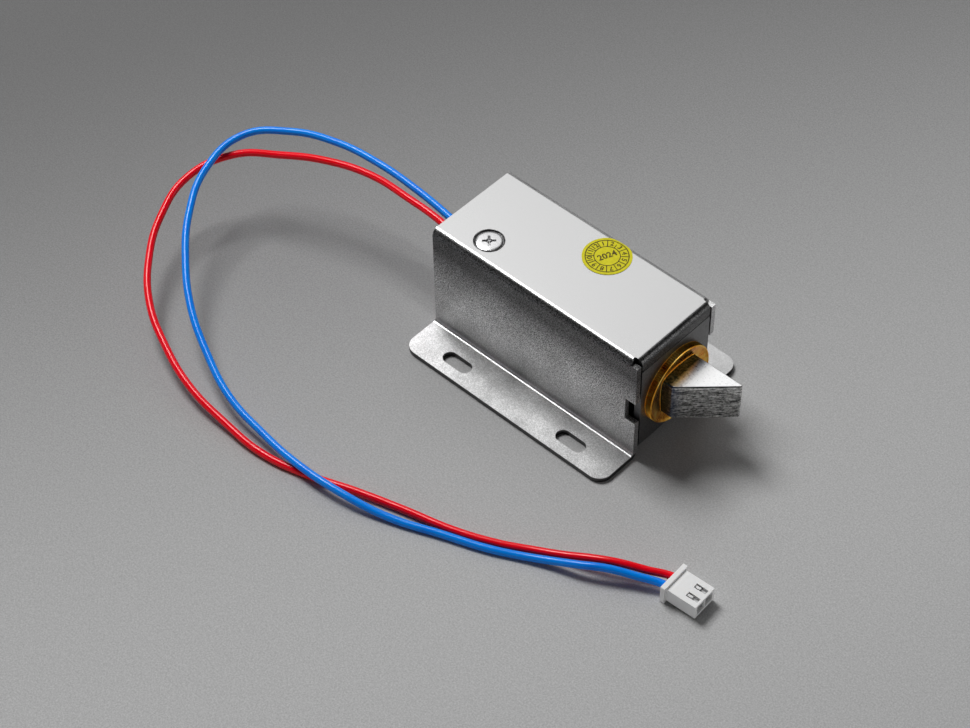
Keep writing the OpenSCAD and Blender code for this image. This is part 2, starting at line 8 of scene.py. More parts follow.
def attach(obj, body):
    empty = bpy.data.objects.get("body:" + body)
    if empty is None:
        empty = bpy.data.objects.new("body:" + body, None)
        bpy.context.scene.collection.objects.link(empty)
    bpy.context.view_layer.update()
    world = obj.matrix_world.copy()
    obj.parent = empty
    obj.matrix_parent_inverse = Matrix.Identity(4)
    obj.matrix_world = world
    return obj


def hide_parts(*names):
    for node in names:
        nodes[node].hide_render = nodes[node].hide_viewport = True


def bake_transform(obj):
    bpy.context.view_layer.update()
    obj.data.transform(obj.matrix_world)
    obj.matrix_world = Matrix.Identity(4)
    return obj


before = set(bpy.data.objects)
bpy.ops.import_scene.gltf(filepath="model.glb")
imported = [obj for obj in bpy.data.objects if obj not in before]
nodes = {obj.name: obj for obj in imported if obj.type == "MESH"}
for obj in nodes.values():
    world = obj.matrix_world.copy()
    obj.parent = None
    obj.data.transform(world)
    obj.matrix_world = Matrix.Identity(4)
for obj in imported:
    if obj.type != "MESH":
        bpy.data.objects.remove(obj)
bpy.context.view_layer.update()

# ---- Camera ----
# The camera stands about 44 degrees round from the lock's near side and 48
# degrees up, just over half a metre away, with a long lens. Sizes are in mm.
MM = 0.001
CAMERA_PLACE = Vector((226.172, -261.166, 386.874))
CAMERA_LENS = 93.778
SENSOR_WIDTH = 36
CAMERA_TURN = math.radians(43.80369)
CAMERA_RISE = math.radians(48.37510)
CAMERA_ROLL = math.radians(-1.04548)
camera_back = Vector((
    math.sin(CAMERA_TURN) * math.cos(CAMERA_RISE),
    -math.cos(CAMERA_TURN) * math.cos(CAMERA_RISE),
    math.sin(CAMERA_RISE)))
camera_data = bpy.data.cameras.new("camera")
camera_data.sensor_width = SENSOR_WIDTH
camera_data.lens = CAMERA_LENS
camera_data.clip_start = 0.01
camera_data.clip_end = 20
camera = bpy.data.objects.new("camera", camera_data)
camera.rotation_mode = "QUATERNION"
camera.rotation_quaternion = (
    (-camera_back).to_track_quat("-Z", "Y") @ Quaternion((0, 0, 1), CAMERA_ROLL))
camera.location = CAMERA_PLACE * MM
bpy.context.collection.objects.link(camera)
bpy.context.scene.camera = camera
bpy.context.scene.view_settings.view_transform = "Standard"


# ---- Table and light ----
# The lock lies on a grey table, with painted light that makes it paler towards the
# lock's front and near side. A strong lamp hangs above it to the left, a wide soft one
# behind is mirrored by the housing's top, and a weak one is in front.
TABLE_HALF_WIDTH = 3000
TABLE_FACE = -0.04
TABLE_GRAIN_DEPTH = 0.02
TABLE_PAINTED_LIGHT_TONES = (0.145, 0.525)
TABLE_GRAIN_TONES = (0.78, 1.22)
# The direction in which painted light makes the table paler, and where that painted
# gradient starts and ends
TABLE_PAINTED_LIGHT_SLOPE = (1.42, -0.72, 0)
TABLE_PAINTED_LIGHT_ENDS = (-0.24, 0.13)
LAMP_DISTANCE = 750


def put(shape, name):
    """Turn a bmesh into an object in the scene, with smooth faces."""
    mesh = bpy.data.meshes.new(name)
    for face in shape.faces:
        face.smooth = True
    shape.to_mesh(mesh)
    shape.free()
    piece = bpy.data.objects.new(name, mesh)
    bpy.context.collection.objects.link(piece)
    return piece


def new_finish(name, **sockets):
    """A material with the given values on its main shader."""
    finish = bpy.data.materials.new(name)
    finish.use_nodes = True
    surface = finish.node_tree.nodes["Principled BSDF"]
    for socket, value in sockets.items():
        surface.inputs[socket.replace("_", " ")].default_value = value
    return finish, surface


def add_node(finish, kind, inputs, **settings):
    """Add a node, set its options, and fill its inputs with values or links."""
    node = finish.node_tree.nodes.new("ShaderNode" + kind)
    for option, value in settings.items():
        setattr(node, option, value)
    for socket, value in inputs.items():
        if isinstance(value, bpy.types.NodeSocket):
            finish.node_tree.links.new(value, node.inputs[socket])
        else:
            node.inputs[socket].default_value = value
    return node


def join(finish, source, target):
    finish.node_tree.links.new(source, target)


def place_on_object(finish, scale=(1, 1, 1), location=(0, 0, 0)):
    """Object coordinates, stretched and moved for a pattern."""
    coordinates = add_node(finish, "TexCoord", {}).outputs["Object"]
    return add_node(finish, "Mapping", {
        "Vector": coordinates, "Location": location, "Scale": scale}).outputs["Vector"]


def on_axis(finish, place, axis):
    return add_node(finish, "SeparateXYZ", {"Vector": place}).outputs[axis]


def noise(finish, place, scale, detail=2, roughness=0.5):
    return add_node(finish, "TexNoise", {
        "Vector": place, "Scale": scale, "Detail": detail,
        "Roughness": roughness}).outputs["Fac"]


def spread(finish, value, low, high, start=0.3, end=0.7, ease="LINEAR"):
    """Stretch a value from start..end to low..high."""
    return add_node(finish, "MapRange", {
        "Value": value, "From Min": start, "From Max": end, "To Min": low,
        "To Max": high}, interpolation_type=ease).outputs["Result"]


def multiply(finish, first, second):
    return add_node(
        finish, "Math", {0: first, 1: second}, operation="MULTIPLY").outputs["Value"]


def shade(finish, value, colours):
    """Colours along a ramp, as (position, colour) pairs."""
    ramp = add_node(finish, "ValToRGB", {"Fac": value})
    stops = ramp.color_ramp.elements
    while len(stops) < len(colours):
        stops.new(0.5)
    for stop, (position, colour) in zip(stops, colours):
        stop.position = position
        stop.color = (*colour, 1)
    return ramp.outputs["Color"]


def bump(finish, surface, height, depth):
    """Relief on a surface, of a depth in mm."""
    relief = add_node(finish, "Bump", {"Height": height, "Distance": depth * MM})
    join(finish, relief.outputs["Normal"], surface.inputs["Normal"])
    return relief


table_finish, surface = new_finish("pale_table", Roughness=0.8)
place = place_on_object(table_finish)
grain = noise(table_finish, place, 3000, 3, 0.75)
# Painted light: the table's tone runs from dark to pale along the slope, times the
# grain.
along = add_node(table_finish, "VectorMath", {
    0: place, 1: TABLE_PAINTED_LIGHT_SLOPE}, operation="DOT_PRODUCT").outputs["Value"]
tone = multiply(
    table_finish,
    spread(table_finish, along, *TABLE_PAINTED_LIGHT_TONES, *TABLE_PAINTED_LIGHT_ENDS, "SMOOTHSTEP"),
    spread(table_finish, grain, *TABLE_GRAIN_TONES))
join(table_finish, shade(table_finish, tone, [
    (0, (0, 0, 0)), (1, (1, 1, 1))]), surface.inputs["Base Color"])
bump(table_finish, surface, grain, TABLE_GRAIN_DEPTH)

table_shape = bmesh.new()
bmesh.ops.create_grid(
    table_shape, x_segments=1, y_segments=1, size=TABLE_HALF_WIDTH * MM)
bmesh.ops.translate(table_shape, verts=table_shape.verts, vec=(0, 0, TABLE_FACE * MM))
table = put(table_shape, "table")
table.data.materials.append(table_finish)


def hang_light(name, direction, size, radiance):
    """A soft area light that faces the lock from the given direction."""
    lamp = bpy.data.lights.new(name, "AREA")
    lamp.shape = "RECTANGLE"
    lamp.size, lamp.size_y = size[0] * MM, size[1] * MM
    lamp.energy = radiance * math.pi * lamp.size * lamp.size_y
    light = bpy.data.objects.new(name, lamp)
    away = Vector(direction).normalized()
    light.location = away * LAMP_DISTANCE * MM
    light.rotation_mode = "QUATERNION"
    light.rotation_quaternion = away.to_track_quat("Z", "Y")
    bpy.context.collection.objects.link(light)


hang_light("key_light", (-0.49, 0.035, 0.87), (260, 280), 18.0)
hang_light("back_light", (-0.46, 0.50, 0.70), (460, 420), 1.13)
hang_light("front_light", (0.84, 0.46, 0.28), (340, 260), 1.6)

# The room is dark above and glows softly near the horizon.
world = bpy.data.worlds.new("studio")
bpy.context.scene.world = world
world.use_nodes = True
room = world.node_tree.nodes["Background"]
rise = on_axis(world, add_node(world, "TexCoord", {}).outputs["Generated"], "Z")
join(world, shade(world, rise, [
    (0.0, (0.6, 0.6, 0.61)), (0.2, (0.42, 0.42, 0.43)), (0.42, (0.02, 0.02, 0.02))]),
    room.inputs["Color"])
room.inputs["Strength"].default_value = 1.0


# ---- Housing ----
# One piece of 1.2 mm steel, blanked, folded into a channel with two feet and
# zinc plated. The plating is finely speckled, and the cut edges are darker.
# The near wall and the front lip carry painted shade, darker high up.
SHEET_EDGE_EASE = 0.07
SHEET_GRAIN_DEPTH = 0.02
TOP_BAND = (27.48, 27.59)
# The walls are darkened over this band with painted shade; past the far bend the tone
# stays even.
WALL_PAINTED_SHADE_BAND = (10, 23)
CUT_EDGE_BAND = (1.0, 1.16)
FAR_BEND = (10.2, 10.7)
TOP_TONE, LOW_WALL_TONE, HIGH_WALL_PAINTED_SHADE_TONE, FAR_BEND_TONE = 0.55, 0.54, 0.09, 0.5
CUT_EDGE_SHARE = 0.16
SPECKLE_BAND = (2, 18)
SPECKLE_LOW, SPECKLE_HIGH, SPECKLE_ON_TOP = 0.22, 1.0, 0.03
WELD = 0.0005 * MM
FLAT = math.radians(0.5)
SHARP = math.radians(30)


def eased_copy(node, radius, segments=2):
    """A copy of a CAD piece with its sharp edges rounded."""
    shape = bmesh.new()
    shape.from_mesh(nodes[node].data)
    bmesh.ops.remove_doubles(shape, verts=shape.verts, dist=WELD)
    bmesh.ops.dissolve_limit(
        shape, angle_limit=FLAT, verts=shape.verts, edges=shape.edges)
    sharp = [edge for edge in shape.edges
             if len(edge.link_faces) == 2 and edge.calc_face_angle(0) > SHARP]
    bmesh.ops.bevel(
        shape, geom=sharp, offset=radius * MM, offset_type="OFFSET",
        affect="EDGES", segments=segments, profile=0.5, material=-1,
        clamp_overlap=True)
    return shape


def even_shading(piece, angle=40):
    """Keep flat faces flat-looking beside their rounded edges."""
    piece.data.set_sharp_from_angle(angle=math.radians(angle))
    weighted = piece.modifiers.new("even_shading", "WEIGHTED_NORMAL")
    weighted.keep_sharp = True


def plated(name, dark, bright, roughness, grain_depth):
    """Plated steel: a fine grain in tone and relief, and broad clouds in its gloss."""
    finish, surface = new_finish(name, Metallic=1.0)
    place = place_on_object(finish)
    grain = noise(finish, place, 2600, 3, 0.6)
    clouds = noise(finish, place, 130, 3)
    join(finish, shade(finish, grain, [
        (0.32, (dark, dark, dark)), (0.66, (bright, bright, bright * 1.01))]),
        surface.inputs["Base Color"])
    join(finish, spread(finish, clouds, roughness - 0.05, roughness + 0.06),
         surface.inputs["Roughness"])
    bump(finish, surface, grain, grain_depth)
    return finish


def mix(finish, share, first, second):
    """The first value, with a share from 0 to 1 of the second in its place."""
    return add_node(finish, "Mix", {
        "Factor": share, "A": first, "B": second}, data_type="FLOAT").outputs["Result"]


def between(finish, value, band, low, high):
    """Go from low to high over a band given in mm."""
    return spread(finish, value, low, high, band[0] * MM, band[1] * MM)


def rolled_sheet(name):
    """Plated sheet: smooth and bright on its flat top, and below it finely speckled,
    with painted shade darkening the walls and front lip high up, by the bends, but not
    past the far bend."""
    finish, surface = new_finish(name, Metallic=1.0)
    place = place_on_object(finish)
    height = on_axis(finish, place, "Z")
    across = on_axis(finish, place, "Y")
    grain = noise(finish, place, 4600, 3, 0.7)
    clouds = noise(finish, place, 150, 4, 0.6)
    below_top = between(finish, height, TOP_BAND, 1, 0)

    # Painted shade: the walls darken with height, except past the far bend.
    wall_tone_with_painted_shade = between(finish, height, WALL_PAINTED_SHADE_BAND, LOW_WALL_TONE, HIGH_WALL_PAINTED_SHADE_TONE)
    past_bend = between(finish, across, FAR_BEND, 0, 1)
    wall_tone_with_painted_shade = mix(finish, past_bend, wall_tone_with_painted_shade, FAR_BEND_TONE)
    cut_edges = between(finish, height, CUT_EDGE_BAND, CUT_EDGE_SHARE, 1)
    wall_tone_with_painted_shade = multiply(finish, wall_tone_with_painted_shade, cut_edges)
    tone = mix(finish, below_top, TOP_TONE, wall_tone_with_painted_shade)
    clouded = multiply(finish, tone, spread(finish, clouds, 0.86, 1.12))
    tone = mix(finish, below_top, tone, clouded)

    depth = between(finish, height, SPECKLE_BAND, SPECKLE_LOW, SPECKLE_HIGH)
    depth = multiply(finish, depth, between(finish, across, (8, 10), 1, 0.4))
    depth = mix(finish, below_top, SPECKLE_ON_TOP, depth)
    speckle = add_node(finish, "Math", {
        0: spread(finish, grain, -1.0, 2.3, 0.38, 0.68), 1: depth, 2: 1.0},
        operation="MULTIPLY_ADD").outputs["Value"]
    join(finish, shade(finish, multiply(finish, tone, speckle), [
        (0, (0, 0, 0)), (1, (1, 1, 1))]), surface.inputs["Base Color"])
    join(finish, mix(finish, below_top, 0.27, spread(finish, clouds, 0.34, 0.43)),
         surface.inputs["Roughness"])
    relief = bump(finish, surface, grain, SHEET_GRAIN_DEPTH)
    join(finish, depth, relief.inputs["Strength"])
    return finish


sheet_finish = rolled_sheet("plated_sheet")
housing = put(eased_copy("housing", SHEET_EDGE_EASE), "housing_shell")
even_shading(housing)
housing.data.materials.append(sheet_finish)
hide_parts("housing")
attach(housing, "lock_body")

# ---- Yoke ----
# A strip of thicker steel bent round the coil. It carries the bush in front,
# the core behind, and screws up against the housing's top.
# Painted shade: the yoke's plating is given a dark tone, for its front plate, which
# faces away from the lamps.
yoke_painted_shade_finish = plated("yoke_steel", 0.15, 0.24, 0.38, 0.03)
yoke = put(eased_copy("yoke", 0.08), "yoke_strip")
even_shading(yoke)
yoke.data.materials.append(yoke_painted_shade_finish)
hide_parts("yoke")
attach(yoke, "lock_body")

# ---- Guide bush ----
# Turned from brass bar: a knurled rim, a raised ridge and a dished face, with a
# square hole broached through. It is pressed into the yoke's front plate.
AXIS = 13.8
BUSH_STEPS = 208
BUSH_PROFILE = [
    (28.17, 7.3), (28.3, 7.9), (28.44, 8.3), (28.56, 8.5), (28.6, 8.6), (28.57, 8.7),
    (28.46, 8.82), (28.4, 8.88), (27.06, 8.88), (27.0, 8.84), (27.0, 7.76),
    (22.96, 7.76), (22.9, 7.7)]
FLANGE_BACK = 27.0
TOOTH_REACH = 8.85
TOOTH_FLOOR = 0.968
HOLE_HALF = (4.95, 4.75)
HOLE_SQUARENESS = 14
# The dished face: its middle, its edge, and how far it rises between them
DISH_MIDDLE, DISH_EDGE, DISH_RISE = 27.3, 7.3, 0.87
# Rings into the hole: how far outside it, how far along x, and whether from the dish
MOUTH = [
    (0.45, 0, True), (0.12, -0.02, True), (0.06, 0.06, True), (0.01, 0.04, True),
    (0, 27.4, False), (0, 23.0, False), (0.1, 22.9, False)]


def on_hole(point, grow, x):
    """Move a point of a circle onto the bush's square hole, at the same angle."""
    y, z = point.y / MM, point.z / MM - AXIS
    half_w, half_h = HOLE_HALF[0] + grow, HOLE_HALF[1] + grow
    power = HOLE_SQUARENESS
    reach = (abs(y / half_w) ** power + abs(z / half_h) ** power) ** (-1 / power)
    return Vector((x, y * reach, z * reach + AXIS)) * MM


bush_shape = bmesh.new()
rim = [bush_shape.verts.new(Vector((x, 0, AXIS + r)) * MM) for x, r in BUSH_PROFILE]
edges = [bush_shape.edges.new(pair) for pair in zip(rim, rim[1:])]
bmesh.ops.spin(
    bush_shape, geom=rim + edges, cent=Vector((0, 0, AXIS)) * MM, axis=(1, 0, 0),
    angle=math.tau, steps=BUSH_STEPS, use_merge=True)
bmesh.ops.remove_doubles(bush_shape, verts=bush_shape.verts, dist=WELD)
for vert in bush_shape.verts:
    reach = math.hypot(vert.co.y, vert.co.z - AXIS * MM)
    if reach > TOOTH_REACH * MM and vert.co.x > (FLANGE_BACK + 0.02) * MM:
        turn = math.atan2(vert.co.z - AXIS * MM, vert.co.y)
        if round(turn / math.tau * BUSH_STEPS) % 2:
            vert.co.y *= TOOTH_FLOOR
            vert.co.z = (vert.co.z - AXIS * MM) * TOOTH_FLOOR + AXIS * MM
mouth = [edge for edge in bush_shape.edges if edge.is_boundary
         and edge.verts[0].co.x > FLANGE_BACK * MM]
for grow, x, on_dish in MOUTH:
    made = bmesh.ops.extrude_edge_only(bush_shape, edges=mouth)["geom"]
    for vert in [item for item in made if isinstance(item, bmesh.types.BMVert)]:
        flat = on_hole(vert.co, grow, 0)
        reach = math.hypot(flat.y, flat.z - AXIS * MM) / MM
        dish = DISH_MIDDLE + DISH_RISE * (reach / DISH_EDGE) ** 2 if on_dish else 0
        vert.co = on_hole(vert.co, grow, dish + x)
    mouth = [item for item in made if isinstance(item, bmesh.types.BMEdge)]
rear_edges = [edge for edge in bush_shape.edges if edge.is_boundary]
bmesh.ops.bridge_loops(bush_shape, edges=rear_edges)
bmesh.ops.recalc_face_normals(bush_shape, faces=bush_shape.faces)
bush = put(bush_shape, "guide_bush_turned")
even_shading(bush, 50)

brass_finish, surface = new_finish("brass", Metallic=1.0)
place = place_on_object(brass_finish, location=(0, 0, -AXIS * MM))
stain = noise(brass_finish, place, 420, 4, 0.65)
scratches = add_node(brass_finish, "TexWave", {
    "Vector": place, "Scale": 900, "Distortion": 1.5, "Detail": 2},
    wave_type="RINGS", rings_direction="X").outputs["Fac"]
join(brass_finish, shade(brass_finish, stain, [
    (0.36, (0.80, 0.28, 0.015)), (0.5, (1.0, 0.48, 0.055)),
    (0.62, (1.0, 0.66, 0.16))]), surface.inputs["Base Color"])
join(brass_finish, spread(brass_finish, stain, 0.24, 0.40), surface.inputs["Roughness"])
bump(brass_finish, surface, scratches, 0.004)
bush.data.materials.append(brass_finish)
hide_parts("guide_bush")
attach(bush, "lock_body")

# ---- Latch bolt ----
# Turned steel plunger with a square nose milled on it. The nose is brushed along
# its sides, worn bright at its edges with painted highlight, and has painted shade,
# dark blue-grey, where it goes into the bush.
NOSE_BOTTOM, NOSE_TOP = 9.2, 18.4
NOSE_TOP_BAND = (18.3, 18.39)
BUSH_PAINTED_SHADE_BAND = (29.4, 32.6)
NOSE_EDGE_EASE = 0.22
BRUSHING = (420, 420, 7400)
SIDE_BRIGHTNESS = 2.4


def mix_colours(finish, share, first, second, blend="MIX"):
    return add_node(finish, "Mix", {
        "Factor": share, 6: first, 7: second},
        data_type="RGBA", blend_type=blend).outputs[2]


bolt_finish, surface = new_finish("bolt_steel", Metallic=1.0)
place = place_on_object(bolt_finish)
height = on_axis(bolt_finish, place, "Z")
along = on_axis(bolt_finish, place, "X")
streaks = noise(bolt_finish, place_on_object(bolt_finish, scale=BRUSHING), 1, 3, 0.7)
pits = noise(bolt_finish, place, 1900, 3, 0.6)
brushed = mix(bolt_finish, 0.25, streaks, pits)
sides = shade(bolt_finish, brushed, [
    (0.42, (0.05, 0.05, 0.05)), (0.50, (0.26, 0.26, 0.25)), (0.60, (1.0, 1.0, 0.98))])
up_the_side = between(bolt_finish, height, (NOSE_BOTTOM, NOSE_TOP), 0, 1)
# Bright bands along the sides' top and bottom edges are part wear and part painted
# highlight, and a dark line of painted shade lies just under the top edge.
edge_wear_and_painted_highlights = shade(bolt_finish, up_the_side, [
    (0.0, (0.9, 0.9, 0.9)), (0.05, (0.42, 0.42, 0.42)), (0.87, (0.42, 0.42, 0.42)),
    (0.90, (0.9, 0.9, 0.9)), (0.950, (1.0, 1.0, 1.0)), (0.960, (0.05, 0.05, 0.05))])
sides = mix_colours(bolt_finish, 1.0, sides, edge_wear_and_painted_highlights, "MULTIPLY")
sides = add_node(bolt_finish, "VectorMath", {
    0: sides, 1: (SIDE_BRIGHTNESS, SIDE_BRIGHTNESS, SIDE_BRIGHTNESS)},
    operation="MULTIPLY").outputs["Vector"]
topside = shade(bolt_finish, pits, [
    (0.30, (0.78, 0.78, 0.78)), (0.5, (0.88, 0.88, 0.88))])
on_side = between(bolt_finish, height, NOSE_TOP_BAND, 1, 0)
polish = mix_colours(bolt_finish, on_side, topside, sides)
# Painted shade: dark blue-grey where the bolt goes into the bush, mottled by the pits.
past_painted_shade = add_node(bolt_finish, "Math", {
    0: between(bolt_finish, along, BUSH_PAINTED_SHADE_BAND, 0.04, 1.2),
    1: spread(bolt_finish, pits, -0.12, 0.12)},
    operation="ADD", use_clamp=True).outputs["Value"]
join(bolt_finish, mix_colours(bolt_finish, past_painted_shade, (0.02, 0.04, 0.10, 1), polish),
     surface.inputs["Base Color"])
join(bolt_finish, spread(bolt_finish, pits, 0.26, 0.36), surface.inputs["Roughness"])
relief = bump(bolt_finish, surface, brushed, 0.03)
join(bolt_finish, between(bolt_finish, height, (18.2, 18.38), 1, 0.15),
     relief.inputs["Strength"])
bolt = put(eased_copy("latch_bolt", NOSE_EDGE_EASE, 3), "latch_bolt_milled")
even_shading(bolt)
bolt.data.materials.append(bolt_finish)
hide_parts("latch_bolt")
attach(bolt, "latch")

# ---- Return spring ----
# Drawn steel wire wound in 13 turns. Its front end moves with the bolt, and
# its rear end stays in the core's pocket.
SPRING_START = -9.7
SPRING_END = 14.5
SPRING_TURNS = 13
SPRING_RADIUS = 2.6
WIRE_RADIUS = 0.3
STEPS_PER_TURN = 20
spring_shape = bmesh.new()
bmesh.ops.create_circle(
    spring_shape, cap_ends=True, segments=8, radius=WIRE_RADIUS * MM,
    matrix=Matrix.Translation(Vector((SPRING_START, SPRING_RADIUS, AXIS)) * MM))
steps = STEPS_PER_TURN * SPRING_TURNS
bmesh.ops.spin(
    spring_shape, geom=list(spring_shape.verts) + list(spring_shape.edges)
    + list(spring_shape.faces), cent=Vector((0, 0, AXIS)) * MM, axis=(1, 0, 0),
    dvec=Vector(((SPRING_END - SPRING_START) / steps, 0, 0)) * MM,
    angle=math.tau * SPRING_TURNS, steps=steps)
bmesh.ops.remove_doubles(spring_shape, verts=spring_shape.verts, dist=WELD)
bmesh.ops.recalc_face_normals(spring_shape, faces=spring_shape.faces)
spring = put(spring_shape, "return_spring_wire")
wire_finish = plated("spring_wire", 0.35, 0.5, 0.3, 0.005)
spring.data.materials.append(wire_finish)
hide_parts("return_spring")
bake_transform(spring)

# ---- Core and washer ----
# A turned steel core is riveted through the yoke's rear plate. A thin plastic
# washer on its face keeps the plunger from sticking.
core_finish = plated("core_steel", 0.28, 0.42, 0.33, 0.01)
nodes["rear_core"].material_slots[0].material = core_finish

white_plastic, surface = new_finish(
    "white_plastic", Roughness=0.4, Subsurface_Weight=0.25, Subsurface_Scale=0.0006)
surface.inputs["Subsurface Radius"].default_value = (1.0, 0.95, 0.9)
mould_grain = noise(white_plastic, place_on_object(white_plastic), 900, 3)
join(white_plastic, shade(white_plastic, mould_grain, [
    (0.3, (0.96, 0.96, 0.955)), (0.7, (0.99, 0.99, 0.985))]),
    surface.inputs["Base Color"])
bump(white_plastic, surface, mould_grain, 0.006)
nodes["core_washer"].material_slots[0].material = white_plastic

# ---- Bobbin, winding and tape ----
# A moulded black bobbin holds some hundred turns of enamelled copper wire,
# wrapped in a clear yellow tape.
bobbin_finish, surface = new_finish("black_plastic", Roughness=0.5)
moulding = noise(bobbin_finish, place_on_object(bobbin_finish), 700, 3)
join(bobbin_finish, shade(bobbin_finish, moulding, [
    (0.3, (0.022, 0.022, 0.023)), (0.7, (0.045, 0.045, 0.046))]),
    surface.inputs["Base Color"])
bump(bobbin_finish, surface, moulding, 0.01)
bobbin = put(eased_copy("bobbin", 0.15), "bobbin_moulded")
even_shading(bobbin)
bobbin.data.materials.append(bobbin_finish)
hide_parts("bobbin")
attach(bobbin, "lock_body")

winding_finish, surface = new_finish("winding_copper", Metallic=0.9, Roughness=0.3)
turns = add_node(winding_finish, "TexWave", {
    "Vector": place_on_object(winding_finish), "Scale": 1000, "Distortion": 0.4},
    wave_type="BANDS", bands_direction="X").outputs["Fac"]
join(winding_finish, shade(winding_finish, turns, [
    (0.1, (0.20, 0.07, 0.02)), (0.6, (0.62, 0.28, 0.11))]),
    surface.inputs["Base Color"])
bump(winding_finish, surface, turns, 0.05)
nodes["winding"].material_slots[0].material = winding_finish

tape_finish, surface = new_finish("coil_tape", Roughness=0.22, Coat_Weight=0.4)
place = place_on_object(tape_finish)
wraps = add_node(tape_finish, "TexWave", {
    "Vector": place, "Scale": 1000, "Distortion": 0.6, "Detail": 1},
    wave_type="BANDS", bands_direction="X").outputs["Fac"]
patches = noise(tape_finish, place, 180, 3)
tape_tone = mix(tape_finish, 0.65, wraps, patches)
join(tape_finish, shade(tape_finish, tape_tone, [
    (0.3, (0.55, 0.30, 0.03)), (0.7, (0.80, 0.52, 0.08))]),
    surface.inputs["Base Color"])
bump(tape_finish, surface, tape_tone, 0.03)
nodes["coil_tape"].material_slots[0].material = tape_finish

# ---- Fixing screw ----
# A countersunk steel screw holds the coil in the housing. Its head is slightly
# domed, with a cross pressed into it, and sits loosely in the sheet's cone.
SCREW_PLACE = Vector((-16.6, -6.2, 0))
SCREW_TURN = math.radians(44)
SCREW_PROFILE = [
    (0, 27.62), (1.3, 27.61), (2.2, 27.57), (2.6, 27.51), (2.84, 27.4), (2.97, 27.24),
    (3.0, 27.08), (2.94, 26.96), (1.75, 26.05), (1.72, 25.9), (1.6, 24.2), (1.5, 24.1),
    (0, 24.1)]
# The cross is punched in three strokes: two flat arms and its centre
PUNCH_MIDDLE, PUNCH_DEPTH = 27.25, 1.7
PUNCH_TIP_RADIUS, PUNCH_TOP_RADIUS = 0.34, 0.84
ARM_STRETCH = (2.9, 0.56, 1)
CENTRE = 2


def spin_up(profile, steps, place):
    """A closed turned shape about a vertical line, from (radius, height) points."""
    shape = bmesh.new()
    line = [shape.verts.new(Vector((r, 0, z)) * MM) for r, z in profile]
    sides = [shape.edges.new(pair) for pair in zip(line, line[1:])]
    bmesh.ops.spin(
        shape, geom=line + sides, cent=(0, 0, 0), axis=(0, 0, 1), angle=math.tau,
        steps=steps, use_merge=True)
    bmesh.ops.remove_doubles(shape, verts=shape.verts, dist=WELD)
    bmesh.ops.recalc_face_normals(shape, faces=shape.faces)
    bmesh.ops.translate(shape, verts=shape.verts, vec=place * MM)
    return shape


def carve(piece, tool):
    """Take a tool's shape out of a piece, and the tool out of the scene."""
    cut = piece.modifiers.new("cut", "BOOLEAN")
    cut.operation = "DIFFERENCE"
    cut.solver = "EXACT"
    cut.object = tool
    bpy.context.view_layer.update()
    whole = piece.evaluated_get(bpy.context.evaluated_depsgraph_get())
    carved = bpy.data.meshes.new_from_object(whole)
    piece.modifiers.clear()
    piece.data = carved
    bpy.data.objects.remove(tool)


def cross_punch(arm):
    """A tapered wedge for an arm of the cross, or an eight-sided one for its centre."""
    punch = bmesh.new()
    turn = Matrix.Rotation(SCREW_TURN + arm * math.radians(90), 4, "Z")
    place = Matrix.Translation((SCREW_PLACE + Vector((0, 0, PUNCH_MIDDLE))) * MM)
    bmesh.ops.create_cone(
        punch, cap_ends=True, segments=8 if arm == CENTRE else 4,
        radius1=PUNCH_TIP_RADIUS * MM, radius2=PUNCH_TOP_RADIUS * MM,
        depth=PUNCH_DEPTH * MM)
    if arm != CENTRE:
        bmesh.ops.rotate(
            punch, verts=punch.verts, cent=(0, 0, 0),
            matrix=Matrix.Rotation(math.pi / 4, 3, "Z"))
        bmesh.ops.scale(punch, verts=punch.verts, vec=ARM_STRETCH)
    bmesh.ops.transform(punch, verts=punch.verts, matrix=place @ turn)
    bmesh.ops.recalc_face_normals(punch, faces=punch.faces)
    return put(punch, "cross_punch")


screw = put(spin_up(SCREW_PROFILE, 72, SCREW_PLACE), "fixing_screw_head")
for arm in (0, 1, CENTRE):
    carve(screw, cross_punch(arm))
screw_ease = screw.modifiers.new("ease", "BEVEL")
screw_ease.width = 0.05 * MM
screw_ease.segments = 2
screw_ease.limit_method = "ANGLE"
screw_ease.angle_limit = math.radians(35)
even_shading(screw)
screw_finish = plated("screw_steel", 0.58, 0.70, 0.26, 0.006)
screw.data.materials.clear()
screw.data.materials.append(screw_finish)
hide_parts("fixing_screw")
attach(screw, "lock_body")

# ---- Date label ----
# A round yellow paper label, stuck down over the start of the far bend. Two
# rings, twelve lines and the numbers of the months and year are printed on it.
LABEL_PLACE = (3.6, 6.3)
LABEL_TURN = math.radians(54.5)
LABEL_FACE = 27.72
BEND_START = 10.2
BEND_RADIUS = 1.62
# Radius and width of each printed ring
PRINT_RINGS = ((4.35, 0.2), (2.62, 0.18))
MONTHS = 12
MONTH_RADIUS, MONTH_SIZE = 3.47, 1.5
DIVIDER_RADIUS, DIVIDER_SIZE = 3.48, (0.18, 1.6, 1)
YEAR, YEAR_SIZE, YEAR_PLACE, YEAR_TURN = "2024", 2.05, (0.05, 0.1), math.radians(13)
LETTER_WEIGHT = 0.022
label_finish, surface = new_finish(
    "label_paper", Roughness=0.6, Specular_IOR_Level=0.25)
fibres = noise(label_finish, place_on_object(label_finish), 1500, 4)
join(label_finish, shade(label_finish, fibres, [
    (0.3, (0.66, 0.60, 0.004)), (0.7, (0.76, 0.70, 0.012))]),
    surface.inputs["Base Color"])
bump(label_finish, surface, fibres, 0.006)
nodes["date_label"].material_slots[0].material = label_finish


